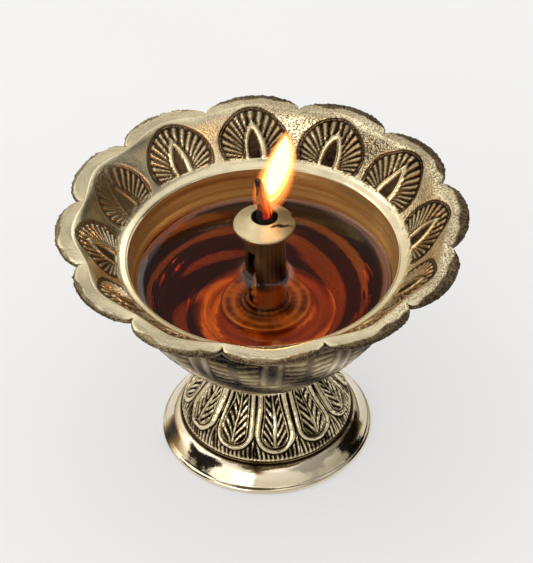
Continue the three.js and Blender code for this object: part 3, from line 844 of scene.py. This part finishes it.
def cotton(name):
    """Cotton yarn: oily brown below, charred above, with glowing embers where punch is set."""
    material, tree = blank_material(name)
    place = add(tree, "TexCoord").outputs["Object"]
    char = add(tree, "Attribute", attribute_name="dark").outputs["Fac"]
    ember = add(tree, "Attribute", attribute_name="punch").outputs["Fac"]
    fibres = add(tree, "TexNoise", {"Vector": place, "Scale": 1 / (0.5 * MM), "Detail": 5.0,
                                    "Roughness": 0.7})
    uneven = add(tree, "Math", {0: fibres.outputs["Fac"], 1: 0.5, 2: -0.25}, operation="MULTIPLY_ADD")
    burnt = add(tree, "Math", {0: char, 1: uneven.outputs[0]}, operation="ADD", use_clamp=True).outputs[0]
    tone = add(tree, "ValToRGB", {"Fac": burnt},
               stops=[(0.0, "#E2B070"), (1.0, "#160A07"), (0.45, "#5A2E16")])
    heat = add(tree, "ValToRGB", {"Fac": ember},
               stops=[(0.15, "#000000"), (1.0, "#FF7A1E"), (0.6, "#B01E04")])
    bump = add(tree, "Bump", {"Height": fibres.outputs["Fac"], "Strength": 0.8, "Distance": 0.3 * MM})
    yarn = add(tree, "BsdfPrincipled", {"Base Color": tone.outputs["Color"], "Roughness": 0.85,
                                        "Emission Color": heat.outputs["Color"], "Emission Strength": 1.6,
                                        "Normal": bump.outputs["Normal"]})
    add(tree, "OutputMaterial", {"Surface": yarn.outputs[0]})
    return material


def twisted(angle, walked, radius, height):
    """Four strands, two turns of twist along the wick."""
    turn = 4 * (angle - height * 0.28)
    rise = -0.17 * radius * (1 - np.abs(np.cos(turn / 2))) + 0.05 * wander(angle, walked, 91, 6)
    char = np.maximum(soft(66.5, 70.5, height), 0.55 * soft(50.0, 54.0, height))
    from_middle = half_turn(np.degrees(angle) - EMBER_BEARING)
    side = np.exp(-((from_middle / 70.0) ** 2))
    ember = side * soft(71.8, 73.5, height) * soft(83.5, 78.0, height)
    ember = ember * (0.6 + 0.4 * wander(angle, walked, 92, 8))
    return rise, char, np.clip(ember, 0.0, 1.0)


wick_line = np.concatenate([[(3.8, 34.0), (4.1, 38.0), (4.0, 42.5), (3.1, 44.6), (3.1, 60.0)],
                            [(2.7, 64.6), (2.7, 66.4)],
                            cubic((2.7, 66.4), (2.7, 70.4), (2.0, 70.4), (2.1, 73.4), 10)[1:],
                            cubic((2.1, 73.4), (2.1, 79.0), (1.1, 81.2), (0.8, 84.9), 14)[1:]])
wick_rings = [pole(34.0)] + turned(along(wick_line, 0.35), 64, twisted) + [pole(85.2, 52.0, 1.0)]
for ring in wick_rings:
    bend = np.clip((ring["co"][:, 2] - 70.4) / 14.8, 0.0, None)
    ring["co"][:, 0] -= 1.65 * bend**2
wick_yarn = cotton("cotton_yarn_twisted")
weave("twisted_wick", stand(wick_rings), wick_yarn, "wick", "wick", sharp=80.0)

# %% [markdown]
# ## The screw, the nut and the washers
# The bowl turns on a threaded stud. A nut and a washer hold the stud in the stem's roof, and a
# leather washer takes up the wear under the bowl. The thread is real: its radius rises and falls
# once for each millimetre of height, and once round, so it climbs as the bowl does.

# %% Screw and washers
def thread(angle, walked, radius, height):
    """A one millimetre pitch, cut 0.5 mm deep and run out at both ends."""
    turn = (height - angle / (2 * np.pi)) % 1.0
    cut = -0.52 * (1 - np.abs(2 * turn - 1))
    ends = soft(1.3, 2.2, height) * soft(30.0, 29.2, height)
    dark = 0.30 + 0.35 * (1 - np.abs(2 * turn - 1))
    return cut * ends * (radius > 2.9), dark, np.zeros_like(radius)


stud_rings = [pole(1.25)] + turned([(1.2, 1.25), (2.35, 1.25)], 48)
stud_rings += turned(along([(2.95, 1.85), (2.95, 29.4)], 0.125), 48, thread, start=2.0)
stud_rings += turned([(2.35, 30.0), (1.2, 30.0)], 48, start=31.0) + [pole(30.0, 33.0)]
weave("threaded_stud", stud_rings, plain_brass, "pedestal", "stud", sharp=50.0)

nut_columns = 96
nut_angle = np.arange(nut_columns) * 2 * np.pi / nut_columns
hexagon = 4.5 / np.cos((nut_angle % (np.pi / 3)) - np.pi / 6)
nut_rings = turned([(3.7, 1.0), (4.4, 1.0), (4.6, 1.15), (5.1, 1.45), (5.25, 1.6), (5.25, 2.8), (5.1, 2.95),
                    (4.6, 3.25), (4.4, 3.4), (3.7, 3.4), (3.35, 3.1), (3.35, 1.3)], nut_columns)
for ring in nut_rings:
    reach = np.hypot(ring["co"][:, 0], ring["co"][:, 1])
    ring["co"][:, :2] *= (np.minimum(reach, hexagon) / reach)[:, None]
weave("hex_nut", nut_rings, plain_brass, "pedestal", "clamp_nut", sharp=25.0, loop=True)

washer_line = [(3.35, 3.7), (6.3, 3.7), (6.5, 3.9), (6.5, 4.3), (6.3, 4.5), (3.5, 4.5), (3.35, 4.3)]
washer_rings = turned(washer_line, 96)
weave("clamp_ring", washer_rings, plain_brass, "pedestal", "clamp_washer", loop=True)

# %% [markdown]
# ## The leather washer
# It is a punched ring of vegetable-tanned leather, pressed hard and dark with oil. Leather has no
# gloss of its own, and a pebbled grain of about half a millimetre.

# %% Leather
def leather(name):
    """Oiled vegetable-tanned leather with a pebbled grain."""
    material, tree = blank_material(name)
    place = add(tree, "TexCoord").outputs["Object"]
    pebbles = add(tree, "TexVoronoi", {"Vector": place, "Scale": 1 / (0.6 * MM)})
    stain = add(tree, "TexNoise", {"Vector": place, "Scale": 1 / (5 * MM), "Detail": 4.0})
    tone = add(tree, "ValToRGB", {"Fac": stain.outputs["Fac"]}, stops=[(0.3, "#3A2416"), (0.75, "#6B4A2E")])
    bump = add(tree, "Bump", {"Height": pebbles.outputs["Distance"], "Strength": 0.5, "Distance": 0.2 * MM})
    skin = add(tree, "BsdfPrincipled", {"Base Color": tone.outputs["Color"], "Roughness": 0.62,
                                        "Normal": bump.outputs["Normal"]})
    add(tree, "OutputMaterial", {"Surface": skin.outputs[0]})
    return material


def pressed(angle, walked, radius, height):
    """A slightly uneven cut edge."""
    return 0.06 * wander(angle, walked, 97, 12), np.zeros_like(radius), np.zeros_like(radius)


seat_line = [(3.4, 24.3), (12.7, 24.3), (12.95, 24.45), (13.0, 24.7), (12.95, 24.95), (12.7, 25.1),
             (3.4, 25.1)]
seat_rings = turned(along(seat_line, 0.3), 128, pressed)
oiled_leather = leather("leather_vegetable_tanned")
weave("leather_washer", seat_rings, oiled_leather, "seat_washer", "seat_washer", loop=True)

# %% [markdown]
# ## The oil
# Lamp oil is clear and amber. Its colour comes from its depth: thin at the edges and around the
# tube, dark where the eye looks through 40 mm of it. So its surface is clear and the colour is an
# absorption inside. It creeps up the brass by a millimetre, and that curved edge catches a
# bright line. Its sides reach a tenth of a millimetre into the brass, which leaves no air between
# them. Rays from the lamps go straight through, because sharp focused light would cost too much.

# %% Oil
def oil_stuff(name):
    """Clear amber oil: refractive surface and plain absorption inside."""
    material, tree = blank_material(name)
    clear = add(tree, "BsdfPrincipled", {"Base Color": (1, 1, 1, 1), "Roughness": 0.0, "IOR": 1.47,
                                         "Transmission Weight": 1.0, "Specular IOR Level": 0.22})
    passing = add(tree, "BsdfTransparent", {"Color": (0.95, 0.95, 0.95, 1)})
    path = add(tree, "LightPath")
    surface = add(tree, "MixShader", {0: path.outputs["Is Shadow Ray"], 1: clear.outputs[0],
                                      2: passing.outputs[0]})
    depth = add(tree, "VolumeAbsorption", {"Color": linear("#FBC44C"), "Density": 72.0})
    add(tree, "OutputMaterial", {"Surface": surface.outputs[0], "Volume": depth.outputs[0]})
    return material


OIL_COLUMNS = 192
OIL_BITE = 0.12  # how far the oil reaches into the brass
TUBE_REACH = 5.4  # just inside the tube's outer skin
oil_angle = np.arange(OIL_COLUMNS) * 2 * np.pi / OIL_COLUMNS
oil_wall = inner_line + np.array([OIL_BITE, 0.0])
oil_wall = oil_wall[oil_wall[:, 1] < OIL_LEVEL + 1.0]
oil_floor = POOL_FLOOR - OIL_BITE
oil_side = along(np.concatenate([[(1.0, oil_floor), (floor_radius, oil_floor)], oil_wall]), 1.0)
oil_rings = [pole(oil_floor)] + turned(oil_side, OIL_COLUMNS)
shore = float(oil_wall[-1, 0])
tube_axis = np.array([holder_x, holder_y])
inner_circle = tube_axis + TUBE_REACH * np.stack([np.cos(oil_angle), np.sin(oil_angle)], 1)
outer_circle = shore * np.stack([np.cos(oil_angle), np.sin(oil_angle)], 1)
for share in 1 - soft(0.0, 1.0, np.linspace(0.02, 1.0, 34)):
    spot = inner_circle * (1 - share) + outer_circle * share
    to_wall = shore - np.hypot(spot[:, 0], spot[:, 1])
    to_tube = np.hypot(*(spot - tube_axis).T) - TUBE_REACH
    level = OIL_LEVEL + 1.0 * np.exp(-to_wall / 1.1) + 0.9 * np.exp(-to_tube / 0.8)
    oil_rings.append({"co": np.column_stack([spot, level]), "dark": np.zeros(OIL_COLUMNS),
                      "punch": np.zeros(OIL_COLUMNS), "walked": np.full(OIL_COLUMNS, 60 + 34 * (1 - share))})
oil_rings.append(pole(OIL_LEVEL + 0.3, 100.0, x=holder_x, y=holder_y))
weave("lamp_oil", oil_rings, oil_stuff("lamp_oil_amber"), "bowl", sharp=60.0)

# %% [markdown]
# ## The flame
# A flame is glowing soot in hot gas: white and dense in the middle, orange at its edge and almost
# clear round the wick. Five nested leaf-shaped skins stand for those, each with its own light and
# its own share of clearness, so that its edge fades as a real one does. A small warm lamp inside
# does the lighting, because a glowing mesh would leave specks. The draught pushes the flame to the
# right and back.

# %% Flame
FLAME_FOOT = 73.4
FLAME_HEIGHT = 23.8


def glow(name, colour, strength, clear):
    """A skin of burning gas that lets part of what is behind it through."""
    material, tree = blank_material(name)
    light = add(tree, "Emission", {"Color": linear(colour), "Strength": strength})
    gas = add(tree, "BsdfTransparent")
    mixed = add(tree, "MixShader", {0: 1.0 - clear, 1: gas.outputs[0], 2: light.outputs[0]})
    add(tree, "OutputMaterial", {"Surface": mixed.outputs[0]})
    material.cycles.emission_sampling = "NONE"
    return material


def flame_rings(foot, head, width, waist):
    """A leaf of flame between two shares of the full height. A larger waist swells it higher up."""
    path = cubic((1.5, 3.1), (1.9, 3.4), (6.6, 4.6), (7.0, 7.6), 60)
    rings = []
    for step in np.linspace(0.0, 1.0, 44):
        share = foot + (head - foot) * step
        x, y = path[int(round(share * 59))]
        z = FLAME_FOOT + FLAME_HEIGHT * share
        size = width * 2.2 * step**waist * (1 - step) ** 0.78
        turn = np.arange(48) * 2 * np.pi / 48
        if step in (0.0, 1.0):
            rings.append(pole(z, 20 * step, x=x, y=y))
            continue
        co = np.stack([x + size * np.cos(turn), y + 0.7 * size * np.sin(turn), np.full(48, z)], 1)
        rings.append({"co": co, "dark": np.zeros(48), "punch": np.zeros(48),
                      "walked": np.full(48, 20 * step)})
    return rings


FLAME_SKINS = (
    ("flame_veil", 0.00, 1.00, 5.5, "#FF7A30", 2.4, 0.93, 0.50),
    ("flame_orange", 0.03, 0.99, 5.1, "#FF9040", 3.0, 0.91, 0.52),
    ("flame_amber", 0.08, 0.975, 4.7, "#FFAA50", 4.0, 0.89, 0.56),
    ("flame_yellow", 0.14, 0.955, 4.1, "#FFC878", 4.2, 0.80, 0.60),
    ("flame_white", 0.24, 0.93, 3.1, "#FFE6B8", 3.2, 0.50, 0.66),
)
for skin_name, foot, head, width, colour, strength, clear, waist in FLAME_SKINS:
    gas = glow(skin_name + "_gas", colour, strength, clear)
    skin = weave(skin_name, flame_rings(foot, head, width, waist), gas, "wick")
    skin.visible_shadow = False
    skin.visible_glossy = skin_name in ("flame_yellow", "flame_white")
flame_lamp_data = bpy.data.lights.new("flame_lamp", "POINT")
flame_lamp_data.energy = 0.011
flame_lamp_data.color = linear("#FFB066")[:3]
flame_lamp_data.shadow_soft_size = 3.5 * MM
flame_lamp = bpy.data.objects.new("flame_lamp", flame_lamp_data)
flame_lamp.location = Vector((4.6, 5.2, 88.0)) * MM
bpy.context.scene.collection.objects.link(flame_lamp)
flame_lamp.parent = skin
print("flame reaches", round(FLAME_FOOT + FLAME_HEIGHT, 1), "mm")

# %% [markdown]
# ## The table and the studio
# The lamp stands on a wide pale sheet that is lit from behind a little, as a light table is, so
# it carries almost no shadow. The room is plain and soft. Metal shows what is round it,
# so the room that the brass reflects has a bright ceiling, a bright left side, a dimmer right
# side and some dark low down, as a real studio has around its lamps. Between them hang dark flags
# and white cards with torn edges: a polished foot in a plain room looks like plaster, and the
# flags draw the black patches next to the highlights that make the eye see metal. Everything else
# sees an even pale room.

# %% Floor
floor_mesh = bpy.data.meshes.new("pale_table")
floor_mesh.from_pydata([(-4, -4, 0), (4, -4, 0), (4, 4, 0), (-4, 4, 0)], [], [(0, 1, 2, 3)])
floor = bpy.data.objects.new("pale_table", floor_mesh)
bpy.context.scene.collection.objects.link(floor)
paper, paper_tree = blank_material("matt_paper_pale")
paper_place = add(paper_tree, "TexCoord").outputs["Object"]
fibre = add(paper_tree, "TexNoise", {"Vector": paper_place, "Scale": 1 / (60 * MM), "Detail": 3.0})
paper_tone = add(paper_tree, "ValToRGB", {"Fac": fibre.outputs["Fac"]},
                 stops=[(0.0, "#B4B3B1"), (1.0, "#B8B7B5")])
paper_skin = add(paper_tree, "BsdfPrincipled", {"Base Color": paper_tone.outputs["Color"], "Roughness": 0.9,
                                                "Specular IOR Level": 0.1,
                                                "Emission Color": linear("#F5F6F9"),
                                                "Emission Strength": 0.45})
add(paper_tree, "OutputMaterial", {"Surface": paper_skin.outputs[0]})
floor_mesh.materials.append(paper)
print("floor is 8 m wide")

# %% Room and lamps
# Dark flags as (direction, half width in degrees, depth); a negative depth is a white card instead.
FLAGS = (
    ((-0.83, -0.07, 0.55), 21.0, 0.985),
    ((-0.17, -0.40, 0.90), 11.0, 0.92),
    ((0.92, 0.24, 0.30), 24.0, 0.98),
    ((0.73, 0.13, 0.68), 12.0, 0.60),
    ((0.62, -0.38, 0.69), 19.0, 0.50),
    ((-0.68, -0.49, 0.54), 17.0, -0.55),
    ((-0.94, 0.24, 0.26), 13.0, -0.90),
    ((0.08, -0.51, 0.85), 7.0, -0.60),
    ((0.03, 0.76, 0.65), 7.5, 0.86),
)
world = bpy.data.worlds.new("soft_room")
bpy.context.scene.world = world
world.use_nodes = True
room = world.node_tree
room.nodes.clear()
way = add(room, "TexCoord").outputs["Generated"]
parts = add(room, "SeparateXYZ", {0: way})
patches = add(room, "TexNoise", {"Vector": way, "Scale": 4.0, "Detail": 2.0, "Roughness": 0.5})
torn = add(room, "VectorMath", {0: patches.outputs["Color"], 1: (-0.5, -0.5, -0.5)}, operation="ADD")
pulled = add(room, "VectorMath", {0: torn.outputs[0], 1: (0.5, 0.5, 0.5), 2: way}, operation="MULTIPLY_ADD")
torn_way = add(room, "VectorMath", {0: pulled.outputs[0]}, operation="NORMALIZE").outputs[0]
height_tone = add(room, "ValToRGB", {"Fac": parts.outputs["Z"]},
                  stops=[(0.02, "#7E766A"), (0.95, "#FFFFFF"), (0.25, "#D6CFC0"), (0.50, "#FAF7F0")])
side = add(room, "MapRange", {"Value": parts.outputs["X"], "From Min": -0.9, "From Max": 0.9,
                              "To Min": 1.25, "To Max": 0.62}).outputs[0]
level = side
for flag_way, wide, depth in FLAGS:
    facing = add(room, "VectorMath", {0: torn_way, 1: flag_way}, operation="DOT_PRODUCT").outputs["Value"]
    edge = math.cos(math.radians(wide))
    flag = add(room, "MapRange", {"Value": facing, "From Min": edge - 0.012, "From Max": edge + 0.012,
                                  "To Min": 1.0, "To Max": 1.0 - depth}, interpolation_type="SMOOTHSTEP")
    level = add(room, "Math", {0: level, 1: flag.outputs[0]}, operation="MULTIPLY").outputs[0]
reflected = add(room, "Background", {"Color": height_tone.outputs["Color"], "Strength": level})
even = add(room, "Background", {"Color": linear("#FBFAF8"), "Strength": 0.99})
ray = add(room, "LightPath")
plain_ray = add(room, "Math", {0: ray.outputs["Is Camera Ray"], 1: ray.outputs["Is Diffuse Ray"]},
                operation="MAXIMUM")
sky = add(room, "MixShader", {0: plain_ray.outputs[0], 1: reflected.outputs[0], 2: even.outputs[0]})
add(room, "OutputWorld", {"Surface": sky.outputs[0]})


def soft_lamp(name, place, size, radiance):
    """A square soft box that faces the lamp, its brightness given as light per area."""
    data = bpy.data.lights.new(name, "AREA")
    data.size = size
    data.energy = radiance * math.pi * size * size
    lamp = bpy.data.objects.new(name, data)
    lamp.location = place
    lamp.rotation_mode = "QUATERNION"
    lamp.rotation_quaternion = (Vector((0, 0, 0.05)) - lamp.location).to_track_quat("-Z", "Y")
    bpy.context.scene.collection.objects.link(lamp)
    return lamp


soft_lamp("key_box", Vector((-0.9, 0.25, 1.1)), 0.6, 1.3)
soft_lamp("front_box", Vector((-0.62, -1.05, 0.72)), 0.40, 4.2)
soft_lamp("back_box", Vector((0.5, 1.1, 0.9)), 0.5, 1.0)
bpy.context.scene.view_settings.view_transform = "Standard"
